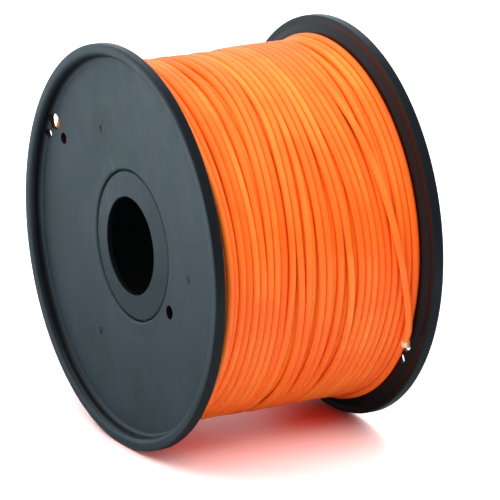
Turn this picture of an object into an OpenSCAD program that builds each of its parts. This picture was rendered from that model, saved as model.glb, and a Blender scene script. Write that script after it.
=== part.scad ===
// Filament spool, full: two dished flanges on a hollow barrel, a hub end with the spindle's
// hole plugged into each end of the barrel, and a winding of filament whose loose end is
// led over the last turns and tucked through a hole in the right flange.
// Millimetres. X is the spool's axis and Z is up; the origin is in the middle of the bore.
// The two flanges are one moulding: the right one is the left one turned end for end.

/* [Overall] */
// Width over the outer faces of the two rims
spool_w = 103.5; // [96:0.5:130]
// Outer diameter of a flange
flange_d = 165; // [164:0.5:180]

/* [Flange] */
// Radial width of the raised rim
rim_w = 5.2; // [4.4:0.1:6]
// Width of the rim along the axis
rim_t = 5; // [3:0.1:6]
// Rounding of the rim's outer edges
rim_edge = 1.2; // [0.3:0.1:1.4]
// Rounding of the rim's edge towards the dished disc
rim_in_edge = 2.6; // [0.3:0.1:2.8]
// Fillet between the rim's inner wall and the disc
rim_foot = 1.8; // [0.5:0.1:2]
// Thickness of the dished disc
disc_t = 1.6; // [1.2:0.1:3]
// Depth of the disc below the rim's face, where it meets the rim
recess_rim = 4.9; // [4.8:0.1:6]
// Depth of the disc below the rim's face, round the centre opening
recess_hub = 6.7; // [5:0.1:8]
// Radius of the flat land round the centre opening, on which the barrel's end seats
land_r = 36; // [35.2:0.1:45]
// Rounding of the centre opening's outer edge
opening_edge = 0.8; // [0.3:0.1:1.2]

/* [Holes in a flange] */
// Width of the disc left between the rim and the hole for the loose end
end_hole_land = 0.1; // [0.1:0.1:6]
// Diameter of the hole for the loose end
end_hole_d = 7.2; // [5:0.1:8]
// Width of the disc left between the rim and the pilot hole beside it
pilot_hole_land = 0.1; // [0.1:0.1:6]
// Diameter of the pilot hole
pilot_hole_d = 3.9; // [1.5:0.1:4.5]
// Angle from the end hole round to the pilot hole, degrees
pilot_hole_turn = 6; // [5:0.5:20]
// Distance from the hole for the loose end in to the second parking hole, middle to middle
park_hole_in = 8.8; // [7:0.1:20]
// Angle from the end hole round to the second parking hole, degrees
park_hole_turn = 1; // [0:0.5:20]
// Diameter of the second parking hole
park_hole_d = 4.8; // [2:0.1:6]
// Clearance from the barrel out to the hole where the winding starts
start_hole_gap = 0.5; // [0.2:0.1:4]
// Diameter of the hole where the winding starts
start_hole_d = 5.7; // [3:0.1:8]
// Angle of the end holes from straight up, away from the side of the tail, degrees
end_hole_angle = 60; // [0:1:90]
// Angle from the end holes round to the start hole, degrees
start_hole_turn = 181; // [90:0.5:270]
// Turn of the right flange's moulding against the left one's, degrees
flange_turn = 60; // [60:1:60]
// Radius on which the three gate marks lie
gate_at = 49.5; // [44:0.5:56]
// Angle from the end holes round to the first gate mark, degrees
gate_turn = 89; // [60:0.5:120]
// Diameter of a gate mark
gate_d = 3.2; // [2:0.1:5]
// Depth of a gate mark
gate_depth = 0.25; // [0.1:0.05:0.5]

/* [Barrel and hub ends] */
// Outer diameter of the barrel
barrel_d = 68; // [66:0.5:70]
// Wall of the barrel
barrel_wall = 3; // [2.5:0.1:4]
// Diameter of the spindle's hole
bore_d = 40; // [20:0.5:50]
// Depth of a hub end below the rim's face, at the spindle's hole
hub_recess = 6; // [5:0.1:7]
// Height of the hub end's cone, from its edge up to the spindle's hole
hub_cone_h = 1.05; // [0.3:0.05:1.5]
// Wall of a hub end
hub_wall = 1.6; // [1.2:0.1:2.5]
// Rounding of the hub end's outer edge
hub_edge = 1; // [0.3:0.1:1.2]
// Rounding of the spindle hole's edge
bore_edge = 0.4; // [0.2:0.1:0.8]
// Open gap between the hub end's neck and the flange, all round
neck_gap = 0.5; // [0.2:0.1:0.8]
// Length of the hub end's skirt inside the barrel
skirt_l = 12; // [6:0.5:25]

/* [Filament] */
// Diameter of the filament
filament_d = 2.85; // [2:0.05:2.9]
// Radius of the outer layer, at the middle of the filament
layer_r = 72.2; // [60:0.1:72.2]
// Distance from the left flange to the first turn of the outer layer, to its middle
first_turn = 3.9; // [3:0.1:6]
// Distance from the right flange to the last turn of the outer layer, to its middle
last_turn = 5.9; // [5.9:0.1:8]
// Whole turns of the outer layer; three quarters of a turn are added to them
turns = 21; // [10:1:21]
// Clearance between the winding's core and the flanges
core_side_gap = 0.2; // [0.1:0.05:0.5]
// Clearance between the core and the outer layer
core_top_gap = 0.1; // [0.05:0.05:0.4]
// Rise of the loose end over the turns that it crosses, beyond its own diameter
tail_rise = 0.6; // [0.5:0.05:1]
// How far the loose end comes back from the right flange before it turns to its hole
tail_back = 14.4; // [8:0.1:20]
// Radius of the loose end's bend into its hole
tail_bend = 5; // [4:0.1:6]
// Length of the loose end beyond the disc's outer face
tail_out = 4.2; // [1:0.1:4.5]
// Offset of the loose end from the middle of its hole, outwards
tail_offset = 1.2; // [0:0.1:1.2]

/* [Hidden] */
$fn = 96;

flange_r = flange_d / 2;
rim_in_r = flange_r - rim_w;
foot_r = rim_in_r - 0.5;
fillet_r = rim_in_r - rim_foot;
barrel_r = barrel_d / 2;
barrel_in_r = barrel_r - barrel_wall;
opening_r = barrel_in_r;
neck_r = opening_r - neck_gap;
bore_r = bore_d / 2;
half_w = spool_w / 2;
end_hole_at = rim_in_r - end_hole_land - end_hole_d / 2;
pilot_hole_at = rim_in_r - pilot_hole_land - pilot_hole_d / 2;
park_hole_at = end_hole_at - park_hole_in;
start_hole_at = barrel_r + start_hole_gap + start_hole_d / 2;

// Depth below the rim's face of the disc's outer and inner faces at radius r
function disc_out(r) = r < land_r ? recess_hub
    : recess_hub - (recess_hub - recess_rim) * (r - land_r) / (rim_in_r - land_r);
function disc_in(r) = disc_out(r) + disc_t;

// Points of a rounded corner, from angle from to angle to about its centre
function rounding(centre, r, from, to) =
    [for (i = [0:5]) let (a = from + (to - from) * i / 5) centre + r * [cos(a), sin(a)]];

// ---------------------------------------------------------------- flanges

// Section of a flange: x is the radius, and y runs out along the axis from the rim's face
module flange_section() {
    polygon(concat(
        rounding([opening_r + opening_edge, -(recess_hub + opening_edge)], opening_edge, 180, 90),
        [[land_r, -disc_out(land_r)]],
        rounding([fillet_r, rim_foot - disc_out(fillet_r)], rim_foot, -90, 0),
        rounding([rim_in_r + rim_in_edge, -rim_in_edge], rim_in_edge, 180, 90),
        rounding([flange_r - rim_edge, -rim_edge], rim_edge, 90, 0),
        rounding([flange_r - rim_edge, -(rim_t - rim_edge)], rim_edge, 0, -90),
        [[rim_in_r + 2, -rim_t],
         [foot_r, -disc_in(foot_r)],
         [land_r, -disc_in(land_r)],
         [opening_r, -disc_in(opening_r)]]
    ));
}

// A hole through the disc at radius at and angle turn
module disc_hole(at, turn, d) {
    rotate([0, 0, turn])
        translate([at, 0, -(recess_hub + disc_t) - 1])
            cylinder(d = d, h = recess_hub + disc_t + 2);
}

// A shallow round mark where the moulding was gated
module gate_mark(turn) {
    rotate([0, 0, turn])
        translate([gate_at, 0, -disc_out(gate_at) - gate_depth])
            cylinder(d = gate_d, h = recess_hub);
}

// One flange, with its axis on Z and the outer face of its rim at z = 0
module flange_moulding() {
    difference() {
        rotate_extrude() flange_section();
        disc_hole(end_hole_at, end_hole_angle, end_hole_d);
        disc_hole(pilot_hole_at, end_hole_angle + pilot_hole_turn, pilot_hole_d);
        disc_hole(park_hole_at, end_hole_angle + park_hole_turn, park_hole_d);
        disc_hole(start_hole_at, end_hole_angle - start_hole_turn, start_hole_d);
        for (i = [0:2]) gate_mark(end_hole_angle + gate_turn + 120 * i);
    }
}

// Places what is modelled along Z, with z = 0 at the rim's face, at the left or right end
module at_left() {
    translate([-half_w, 0, 0]) rotate([0, -90, 0]) children();
}
module at_right() {
    translate([half_w, 0, 0]) rotate([0, 90, 0]) rotate([0, 0, flange_turn - 180]) children();
}

module left_flange() {
    color([0.27, 0.30, 0.32]) at_left() flange_moulding();
}

module right_flange() {
    color([0.22, 0.24, 0.26]) at_right() flange_moulding();
}

// ---------------------------------------------------------------- barrel and hub ends

// The tube between the two flanges; each end seats face to face on a flange's land
barrel_l = spool_w - 2 * disc_in(opening_r);

module barrel() {
    color([0.12, 0.13, 0.14])
        rotate([0, 90, 0])
            difference() {
                cylinder(r = barrel_r, h = barrel_l, center = true);
                cylinder(r = barrel_in_r, h = barrel_l + 2, center = true);
            }
}

// Section of a hub end: a shallow cone round the spindle's hole, a rounded edge standing in
// the flange's opening, and a skirt that fills the barrel's bore
hub_edge_depth = hub_recess + hub_cone_h;
skirt_top = disc_in(opening_r) + 0.4;

module hub_end_section() {
    polygon(concat(
        rounding([bore_r + bore_edge, -(hub_recess + bore_edge)], bore_edge, 180, 90),
        rounding([neck_r - hub_edge, -(hub_edge_depth + hub_edge)], hub_edge, 90, 0),
        [[neck_r, -skirt_top],
         [barrel_in_r, -skirt_top],
         [barrel_in_r, -(skirt_top + skirt_l)],
         [barrel_in_r - hub_wall, -(skirt_top + skirt_l)],
         [barrel_in_r - hub_wall, -(hub_edge_depth + hub_edge + hub_wall)],
         [bore_r, -(hub_recess + bore_edge + hub_wall)]]
    ));
}

module hub_end() {
    rotate_extrude() hub_end_section();
}

module left_hub_end() {
    color([0.33, 0.36, 0.38]) at_left() hub_end();
}

module right_hub_end() {
    color([0.33, 0.36, 0.38]) at_right() hub_end();
}

// ---------------------------------------------------------------- routes of the filament

// Angles of the winding run from straight up towards -Y. A turn has ring_n rings.
ring_n = 24;
step = 360 / ring_n;
side_n = 6;
function out_dir(a) = [0, -sin(a), cos(a)];
function turn_dir(a) = [0, -cos(a), -sin(a)];
function unit(v) = v / norm(v);
function smooth(u) = let (c = max(0, min(1, u))) c * c * (3 - 2 * c);

filament_r = filament_d / 2;
// the polygon that a turn makes dips to this share of its radius, and its ring's flat side
// lies at this share of the filament's radius
dip = cos(step / 2);
flat = cos(180 / side_n);
core_r = layer_r * dip - filament_r * flat - core_top_gap;

// where the flanges' inner faces stand at the outer layer
layer_face = half_w - disc_in(layer_r);
layer_x0 = -layer_face + first_turn;
layer_x1 = layer_face - last_turn;

// the hole that takes the loose end, in the angles of the winding
hole_angle = end_hole_angle + flange_turn;
// the loose end leaves the layer this many rings before its hole
tail_rings = 22;
layer_rings = turns * ring_n + 18;
start_angle = hole_angle - (layer_rings + tail_rings) * step;

function ring_angle(k) = start_angle + step * k;
function on_route(k, r, x) = out_dir(ring_angle(k)) * r + [x, 0, 0];
function layer_point(k) = on_route(k, layer_r, layer_x0 + (layer_x1 - layer_x0) * k / layer_rings);

// the first end comes up out of a notch in the core, straight for one diameter, then bends
// into the first turn
lead_bend = 2.6;
lead_r = layer_r - lead_bend - filament_d;
lead_points = concat(
    [on_route(0, lead_r, layer_x0)],
    [for (a = [0:22.5:90])
        out_dir(start_angle) * (layer_r - lead_bend + lead_bend * sin(a))
        + turn_dir(start_angle) * lead_bend * (1 - cos(a)) + [layer_x0, 0, 0]]
);

// the layer ends half way between two rings, where the loose end carries it on
join = (layer_point(layer_rings) + layer_point(layer_rings + 1)) / 2;
turns_route = concat(lead_points, [for (k = [1:layer_rings]) layer_point(k)], [join]);

// the loose end climbs onto the layer, comes back across it, then runs out to its hole
over_r = layer_r + filament_d + tail_rise;
back_x = layer_face - tail_back;
hole_r = end_hole_at + tail_offset;
bend_end_x = layer_face - 1.3;
bend_x = bend_end_x - tail_bend;
climb_rings = 3;
return_rings = 15;
out_rings = tail_rings - climb_rings - return_rings - 1;

function tail_r(i) = layer_r + (over_r - layer_r) * smooth((i - 1) / climb_rings);
function tail_x(i) = i <= climb_rings + 1 ? layer_x1
    : i <= climb_rings + 1 + return_rings
        ? layer_x1 + (back_x - layer_x1) * smooth((i - climb_rings - 1) / return_rings)
        : back_x + (bend_x - back_x) * (i - climb_rings - 1 - return_rings) / (out_rings + 0.8);

// the bend into the hole, from its angle of approach round to the spool's axis
bend_from = 10;
function bend_point(a) = let (s = (a - bend_from) / (90 - bend_from))
    out_dir(hole_angle) * (over_r - 0.2 + (hole_r - over_r + 0.2) * s)
    - turn_dir(hole_angle) * tail_bend * (1 - sin(a))
    + [bend_x + tail_bend * (1 - cos(a)), 0, 0];
tail_end_x = half_w - disc_out(hole_r) + tail_out;
tail_route = concat(
    [join],
    [for (i = [1:tail_rings - 1]) on_route(layer_rings + i, tail_r(i), tail_x(i))],
    [for (a = [bend_from, 30, 50, 70, 90]) bend_point(a)],
    [out_dir(hole_angle) * hole_r + [tail_end_x, 0, 0]]
);

// Least distance between a point and a stretch, and between points and a route
function to_stretch(p, a, b) = let (d = b - a, t = max(0, min(1, (p - a) * d / (d * d))))
    norm(p - a - t * d);
function to_route(points, route) = min([for (p = points, j = [0:len(route) - 2])
    to_stretch(p, route[j], route[j + 1])]);

// least gap of the turns to themselves: each point against the stretches of the next turn
turns_gap = min([for (i = [0:len(turns_route) - 2 - ring_n / 2])
    min([for (j = [i + ring_n / 2:min(i + ring_n * 3 / 2, len(turns_route) - 2)])
        to_stretch(turns_route[i], turns_route[j], turns_route[j + 1])])]) - filament_d;
tail_gap = min([for (i = [0:len(tail_route) - 1], j = [0:len(tail_route) - 2])
    if (abs(i - j) > 8) to_stretch(tail_route[i], tail_route[j], tail_route[j + 1])])
    - filament_d;
// and between the loose end, past its climb, and the turns under it
under = [for (k = [layer_rings - 5 * ring_n:layer_rings]) layer_point(k)];
over = [for (i = [climb_rings + 1:len(tail_route) - 1]) tail_route[i]];
crossing_gap = min(to_route(over, under), to_route(under, over)) - filament_d;
echo(turns_gap_mm = turns_gap, tail_gap_mm = tail_gap, crossing_gap_mm = crossing_gap);

// ---------------------------------------------------------------- the filament's solids

// One tube along a route: a ring of side_n corners square to the route at each point. The
// corners are counted from guide, a direction that the route never takes; half turns the
// ring by half a side, so that a flat side faces the core.
function route_dir(route, i) = i == 0 ? unit(route[1] - route[0])
    : i == len(route) - 1 ? unit(route[i] - route[i - 1])
    : unit(unit(route[i + 1] - route[i]) + unit(route[i] - route[i - 1]));
function ring(centre, along, guide, half) =
    let (u = unit(guide - (guide * along) * along), v = cross(along, u))
    [for (j = [0:side_n - 1])
        let (a = 360 * j / side_n + half)
        centre + filament_r * (cos(a) * u + sin(a) * v)];

module tube(route, guides, half) {
    n = len(route);
    points = [for (i = [0:n - 1])
        each ring(route[i], route_dir(route, i), guides[i], half)];
    sides = [for (i = [0:n - 2], j = [0:side_n - 1])
        let (a = i * side_n + j, b = i * side_n + (j + 1) % side_n)
        each [[a, b + side_n, b], [a, a + side_n, b + side_n]]];
    caps = [for (j = [1:side_n - 2])
        each [[0, j, j + 1], [(n - 1) * side_n, (n - 1) * side_n + j + 1, (n - 1) * side_n + j]]];
    polyhedron(points = points, faces = concat(sides, caps), convexity = 10);
}

// The wound body under the outer layer: a plain core that follows the flanges' dished
// faces, with the notch from which the outer layer comes up
module filament_pack() {
    side = half_w - core_side_gap;
    color([0.90, 0.36, 0.10])
        difference() {
            rotate([0, 90, 0])
                rotate_extrude()
                    polygon([
                        [barrel_r, -(side - disc_in(barrel_r))],
                        [land_r, -(side - disc_in(land_r))],
                        [core_r, -(side - disc_in(core_r))],
                        [core_r, side - disc_in(core_r)],
                        [land_r, side - disc_in(land_r)],
                        [barrel_r, side - disc_in(barrel_r)]
                    ]);
            translate([layer_x0, 0, 0])
                rotate([start_angle, 0, 0])
                    translate([-filament_d * 0.85, -lead_bend * 2 - filament_d, lead_r])
                        cube([filament_d * 1.7, lead_bend * 2 + filament_d * 2, filament_d * 4]);
        }
}

module filament_turns() {
    color([1.00, 0.47, 0.18])
        tube(turns_route, [for (p = turns_route) [1, 0, 0]], 0);
}

module filament_tail() {
    color([1.00, 0.55, 0.26])
        tube(tail_route, [for (p = tail_route) [0, p[1], p[2]]], 30);
}

left_flange();
right_flange();
barrel();
left_hub_end();
right_hub_end();
filament_pack();
filament_turns();
filament_tail();
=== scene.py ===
"""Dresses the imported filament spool: finishes the moulded flanges, barrel and hub ends, winds
the filament strand by strand on its core, tucks in the loose end, and sets a small studio.

Everything is in metres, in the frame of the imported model: X is the spool's axis, Z is up and
the origin is in the middle of the bore. Angles of the winding run from straight up towards -Y.
"""

import functools
import math

import bpy
import numpy as np
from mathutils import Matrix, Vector


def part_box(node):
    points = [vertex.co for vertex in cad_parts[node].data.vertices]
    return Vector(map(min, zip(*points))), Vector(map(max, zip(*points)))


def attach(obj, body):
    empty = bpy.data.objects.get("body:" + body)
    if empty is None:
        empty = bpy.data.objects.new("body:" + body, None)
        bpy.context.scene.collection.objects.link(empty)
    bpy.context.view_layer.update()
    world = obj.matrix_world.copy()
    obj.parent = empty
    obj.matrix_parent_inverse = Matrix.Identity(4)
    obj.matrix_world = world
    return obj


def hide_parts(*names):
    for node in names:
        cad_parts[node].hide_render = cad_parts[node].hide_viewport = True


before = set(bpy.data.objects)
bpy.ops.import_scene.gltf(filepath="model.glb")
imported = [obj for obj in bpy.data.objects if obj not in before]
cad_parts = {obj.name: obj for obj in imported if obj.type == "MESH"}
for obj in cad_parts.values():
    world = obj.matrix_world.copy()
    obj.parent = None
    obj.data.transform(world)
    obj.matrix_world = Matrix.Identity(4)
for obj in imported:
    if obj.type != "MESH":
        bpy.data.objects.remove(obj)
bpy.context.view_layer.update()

bl_info = {
    "name": "Filament Spool",
    "version": (1, 0, 0),
    "blender": (4, 5, 0),
    "location": "View3D > Sidebar > Spool",
    "description": "Winds and finishes a full spool of filament on its moulded parts",
    "category": "Object",
}

BODY = "root"

# ------------------------------------------------------------------ sizes read from the frame

BARREL_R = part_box("barrel")[1].z
FLOOR_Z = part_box("right_flange")[0].z

DISC_FOOT_R = 0.0765  # where the dished disc runs out into the rim
LAND_R = 0.036  # the flat land round the flange's opening
LAND_CLEAR = 0.0005  # how far outside the land's edge its place is measured


def face_at(radius):
    """How far from the middle the flanges' inner faces stand, straight down at this radius."""
    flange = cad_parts["right_flange"]
    hit, place, _, _ = flange.ray_cast(Vector((0, 0, -radius)), Vector((1, 0, 0)))
    if not hit:
        raise RuntimeError(f"the right flange has no inner face at radius {radius}")
    return place.x


LAND_X = face_at(LAND_R + LAND_CLEAR)
FOOT_X = face_at(DISC_FOOT_R)


def face_x(radius):
    """Distance from the middle to a flange's inner face; the disc is straight in section."""
    share = np.clip((radius - LAND_R) / (DISC_FOOT_R - LAND_R), 0, 1)
    return LAND_X + (FOOT_X - LAND_X) * share


def on_drum(x, radius, angle):
    """Points of the winding from its axial place, radius and angle."""
    return np.stack([x, -radius * np.sin(angle), radius * np.cos(angle)], axis=-1)


# ------------------------------------------------------------------ settings


class SpoolStrandSettings(bpy.types.PropertyGroup):
    """Sizes and colours of the filament and of its winding."""

    diameter: bpy.props.FloatProperty(
        name="Diameter", description="Diameter of the filament",
        default=0.00296, unit="LENGTH")
    pitch: bpy.props.FloatProperty(
        name="Pitch", description="Spacing of the turns of an inner layer along the axis",
        default=0.00308, unit="LENGTH")
    outer_pitch: bpy.props.FloatProperty(
        name="Outer Pitch", description="Spacing of the turns of the outer layer, on average",
        default=0.0034, unit="LENGTH")
    nearest: bpy.props.FloatProperty(
        name="Nearest", description="How near each other the outer turns are led, in diameters",
        default=0.97, min=0.5)
    outer_pull: bpy.props.FloatProperty(
        name="Outer Pull", description="How firmly the guide led the outer layer to its place",
        default=0.3, min=0, max=1)
    first_radius: bpy.props.FloatProperty(
        name="First Radius", description="Radius of the lowest layer wound strand by strand",
        default=0.0667, unit="LENGTH")
    layers: bpy.props.IntProperty(
        name="Layers", description="Layers wound strand by strand, the outer one among them",
        default=3, min=2)
    sway: bpy.props.FloatProperty(
        name="Sway", description="How far groups of turns wander along the axis",
        default=0.0022, unit="LENGTH")
    bunching: bpy.props.FloatProperty(
        name="Bunching", description="How far neighbouring turns draw together and apart",
        default=0.0009, unit="LENGTH")
    unevenness: bpy.props.FloatProperty(
        name="Unevenness", description="How far each turn of the outer layer wanders by itself",
        default=0.0014, unit="LENGTH")
    sides: bpy.props.IntProperty(
        name="Sides", description="Sides of a strand's section", default=10, min=6)
    seed: bpy.props.IntProperty(
        name="Seed", description="Picks one winding out of many", default=5)
    hole_angle: bpy.props.FloatProperty(
        name="Hole Angle", description="Angle of the hole that takes the loose end",
        default=math.radians(120), subtype="ANGLE")
    hole_radius: bpy.props.FloatProperty(
        name="Hole Radius", description="Radius at which the loose end passes through its hole",
        default=0.0748, unit="LENGTH")
    colour: bpy.props.FloatVectorProperty(
        name="Colour", description="Colour of the filament",
        default=(0.99, 0.165, 0.011), subtype="COLOR", size=3)


class SpoolPlasticSettings(bpy.types.PropertyGroup):
    """Colours and finish of the moulded parts."""

    flange_colour: bpy.props.FloatVectorProperty(
        name="Flange Colour", description="Colour of the matt faces of the flanges",
        default=(0.0205, 0.0335, 0.040), subtype="COLOR", size=3)
    # the round walls' near black is partly their polished skin and partly painted shade
    skin_and_shade_colour: bpy.props.FloatVectorProperty(
        name="Skin Colour", description="Colour of the polished rims and round walls",
        default=(0.003, 0.004, 0.006), subtype="COLOR", size=3)
    hub_colour: bpy.props.FloatVectorProperty(
        name="Hub Colour", description="Colour of the hub ends",
        default=(0.020, 0.032, 0.038), subtype="COLOR", size=3)
    barrel_colour: bpy.props.FloatVectorProperty(
        name="Barrel Colour", description="Colour of the barrel",
        default=(0.003, 0.003, 0.0035), subtype="COLOR", size=3)
    face_roughness: bpy.props.FloatProperty(
        name="Face Roughness", description="Roughness of the matt faces",
        default=0.42, min=0, max=1, subtype="FACTOR")
    rim_roughness: bpy.props.FloatProperty(
        name="Rim Roughness", description="Roughness of the polished rims and round walls",
        default=0.3, min=0, max=1, subtype="FACTOR")
    inner_roughness: bpy.props.FloatProperty(
        name="Inner Roughness", description="Roughness of the flanges' faces towards the winding",
        default=0.5, min=0, max=1, subtype="FACTOR")


class SpoolStageSettings(bpy.types.PropertyGroup):
    """The floor, the light and the camera."""

    floor_colour: bpy.props.FloatVectorProperty(
        name="Floor Colour", description="Colour of the floor",
        default=(0.93, 0.94, 0.95), subtype="COLOR", size=3)
    floor_size: bpy.props.FloatProperty(
        name="Floor Size", description="Length of the floor's sides",
        default=14.0, unit="LENGTH")
    sky_strength: bpy.props.FloatProperty(
        name="Sky Strength", description="Strength of the even light from all round",
        default=0.95, min=0)
    top_power: bpy.props.FloatProperty(
        name="Top Power", description="Power of the softbox overhead, in watts",
        default=3.0, min=0)
    side_power: bpy.props.FloatProperty(
        name="Side Power", description="Power of the softbox at the left, in watts",
        default=1.1, min=0)
    spot_power: bpy.props.FloatProperty(
        name="Spot Power", description="Power of the spot high over the right flange, in watts",
        default=30.0, min=0)
    front_power: bpy.props.FloatProperty(
        name="Front Power", description="Power of the softbox in front, in watts",
        default=6.0, min=0)
    # near the spool this added colour is red, which paints the shadow there redder
    seen_gain_and_painted_red: bpy.props.FloatVectorProperty(
        name="Floor Gain",
        description="Colour that the camera finds added to the floor near the spool",
        default=(0.60, 0.28, 0.27), subtype="COLOR", size=3)
    # painted shadow: the red that the camera sees on the floor under the winding
    painted_shadow_colour: bpy.props.FloatVectorProperty(
        name="Painted Shadow Colour", description="Colour of the floor under the winding, to the camera",
        default=(0.98, 0.12, 0.06), subtype="COLOR", size=3)
    room: bpy.props.FloatProperty(
        name="Room", description="Brightness that gloss shows of the room in front of the spool",
        default=0.2, min=0, max=1, subtype="FACTOR")
    lens: bpy.props.FloatProperty(
        name="Lens", description="Focal length of the camera, in millimetres",
        default=360.0, min=1)


def settings():
    """The scene's three groups of settings: strand, plastic and stage."""
    scene = bpy.context.scene
    return scene.spool_strand, scene.spool_plastic, scene.spool_stage


# ------------------------------------------------------------------ making objects


def add_object(name, data):
    """Links a new object with this mesh, lamp or camera."""
    item = bpy.data.objects.new(name, data)
    bpy.context.scene.collection.objects.link(item)
    return item


def place_piece(name, mesh, material):
    """Links a finished mesh as a piece that rides on the spool."""
    mesh.name = name
    mesh.materials.clear()
    mesh.materials.append(material)
    piece = add_object(name, mesh)
    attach(piece, BODY)
    return piece


def dress_node(node, material):
    """Gives a node of the frame a material and leaves its mesh alone."""
    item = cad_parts[node]
    if not item.material_slots:
        item.data.materials.append(material)
    for slot in item.material_slots:
        slot.material = material


# ------------------------------------------------------------------ node helpers


class Tree:
    """A node tree, emptied, with short calls to add and join its nodes."""

    def __init__(self, tree):
        self.tree = tree
        tree.nodes.clear()

    def add(self, kind, **values):
        """A new node of a kind, with its properties set."""
        node = self.tree.nodes.new(kind)
        for key, value in values.items():
            setattr(node, key, value)
        return node

    def join(self, source, target):
        self.tree.links.new(source, target)

    def feed(self, socket, value):
        """Links a socket to another, or sets it to a number or colour."""
        if isinstance(value, bpy.types.NodeSocket):
            self.join(value, socket)
        elif value is not None:
            socket.default_value = value

    def math(self, operation, a, b=None, c=None):
        """Works with one to three numbers."""
        node = self.add("ShaderNodeMath", operation=operation)
        for socket, value in zip(node.inputs, (a, b, c)):
            self.feed(socket, value)
        return node.outputs[0]

    def vector(self, operation, a, b=None):
        """Works with one or two vectors."""
        node = self.add("ShaderNodeVectorMath", operation=operation)
        self.feed(node.inputs[0], a)
        self.feed(node.inputs[1], b)
        return node.outputs["Value" if operation in ("LENGTH", "DOT_PRODUCT") else "Vector"]

    def coordinates(self, kind="Object"):
        """Object coordinates, or others such as Normal."""
        return self.add("ShaderNodeTexCoord").outputs[kind]

    def split(self, vector):
        node = self.add("ShaderNodeSeparateXYZ")
        self.join(vector, node.inputs[0])
        return node.outputs

    def combine(self, x, y, z):
        node = self.add("ShaderNodeCombineXYZ")
        for socket, value in zip(node.inputs, (x, y, z)):
            self.feed(socket, value)
        return node.outputs[0]

    def noise(self, vector, scale, detail=2.0, roughness=0.5):
        node = self.add("ShaderNodeTexNoise")
        self.join(vector, node.inputs["Vector"])
        node.inputs["Scale"].default_value = scale
        node.inputs["Detail"].default_value = detail
        node.inputs["Roughness"].default_value = roughness
        return node.outputs["Fac"]

    def spread(self, value, low, high, to_low=0.0, to_high=1.0):
        """Maps a value from one range to another by a smooth step, held at the ends."""
        node = self.add("ShaderNodeMapRange", interpolation_type="SMOOTHSTEP")
        self.feed(node.inputs["Value"], value)
        for name, number in zip(("From Min", "From Max", "To Min", "To Max"),
                                (low, high, to_low, to_high)):
            node.inputs[name].default_value = number
        return node.outputs["Result"]

    def fade(self, value, low, high, peak=1.0):
        """The peak up to low, and from there a smooth fall to 0 at high."""
        return self.spread(value, low, high, peak, 0.0)

    def blend(self, share, first, second):
        """Mixes two colours by a share."""
        node = self.add("ShaderNodeMix", data_type="RGBA")
        self.feed(node.inputs["Factor"], share)
        for socket, value in ((node.inputs[6], first), (node.inputs[7], second)):
            self.feed(socket, value if isinstance(value, bpy.types.NodeSocket) else (*value, 1))
        return node.outputs[2]

    def mixed(self, share, first, second):
        """Mixes two shaders by a share."""
        node = self.add("ShaderNodeMixShader")
        for socket, value in zip(node.inputs, (share, first, second)):
            self.join(value, socket)
        return node.outputs[0]


class Shader(Tree):
    """A new material's tree, with its one glossy surface."""

    def __init__(self, name):
        self.material = bpy.data.materials.new(name)
        self.material.use_nodes = True
        super().__init__(self.material.node_tree)
        self.output = self.add("ShaderNodeOutputMaterial")
        self.surface = self.add("ShaderNodeBsdfPrincipled")
        self.join(self.surface.outputs["BSDF"], self.output.inputs["Surface"])

    def diffuse(self, colour):
        """A plain diffuse shader."""
        node = self.add("ShaderNodeBsdfDiffuse")
        self.join(colour, node.inputs["Color"])
        return node.outputs["BSDF"]

    def bump(self, height, depth, before=None):
        """The normal of a surface that a height of 1 raises by depth, over another normal."""
        node = self.add("ShaderNodeBump")
        node.inputs["Strength"].default_value = 1.0
        node.inputs["Distance"].default_value = depth
        self.join(height, node.inputs["Height"])
        self.feed(node.inputs["Normal"], before)
        return node.outputs[0]

    def finish(self, colour, roughness, normal=None, **constants):
        """The material, with its surface's looks set."""
        for name, value in (("Base Color", colour), ("Roughness", roughness), ("Normal", normal)):
            self.feed(self.surface.inputs[name], value)
        for name, value in constants.items():
            self.surface.inputs[name.replace("_", " ")].default_value = value
        return self.material


def scaled(colour, factor):
    """A colour times one factor, with 1 as its limit."""
    return tuple(min(1.0, part * factor) for part in colour)


def tinted(colour, factors):
    """A colour with its red, green and blue each times a factor."""
    return tuple(part * factor for part, factor in zip(colour, factors))


def grey(level):
    """A level as a colour."""
    return (level,) * 3


# ------------------------------------------------------------------ moulded plastic

FINE_GRAIN = 0.00003  # height of the grain of a moulded face
GATE_R = 0.0495  # the three gates' distance from the axis
GATE_ANGLE = math.radians(30)  # how far the uppermost gate is turned from straight up
GATE_SHIFT = math.radians(1)  # how far the two flanges' gates are turned either way
GATE_PIT = 0.0009  # radius of the dark pit in a gate mark
HAZE_FADE = (0.002, 0.014)  # distances from a gate over which its dark haze fades
TAIL_WIDTH = (0.0002, 0.0006)  # distances to the sides over which a gate's pale tail fades
TAIL_LENGTH = (-0.017, -0.002)  # and from its inner end to the gate
FLANGE_DARK, FLANGE_PALE = (0.72, 0.86, 0.80), (1.25, 1.12, 1.22)  # tints of a face's clouds

# how far a wall looks outwards, from -1 to 1, where polish ends and where an inner face ends
ROUND_WALL = (0.60, 0.95)
INNER_FACE = (-0.7, -0.2)
# the edges round the opening stay matt: a flange is polished beyond the first of these radii,
# and a hub end within the second, or nearer to the spool's middle than the last distance
OPENING_EDGE = (0.0325, 0.0335)
HUB_HOLE_EDGE = (0.0207, 0.0215)
HUB_FACE_EDGE = (0.0430, 0.0437)


def polar(shader):
    """Radius from the spool's axis, angle from straight up towards -Y, and place along it."""
    x, y, z = shader.split(shader.coordinates())
    radius = shader.math("SQRT", shader.math(
        "ADD", shader.math("MULTIPLY", y, y), shader.math("MULTIPLY", z, z)))
    angle = shader.math("ARCTAN2", shader.math("MULTIPLY", y, -1.0), z)
    return radius, angle, x


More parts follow.
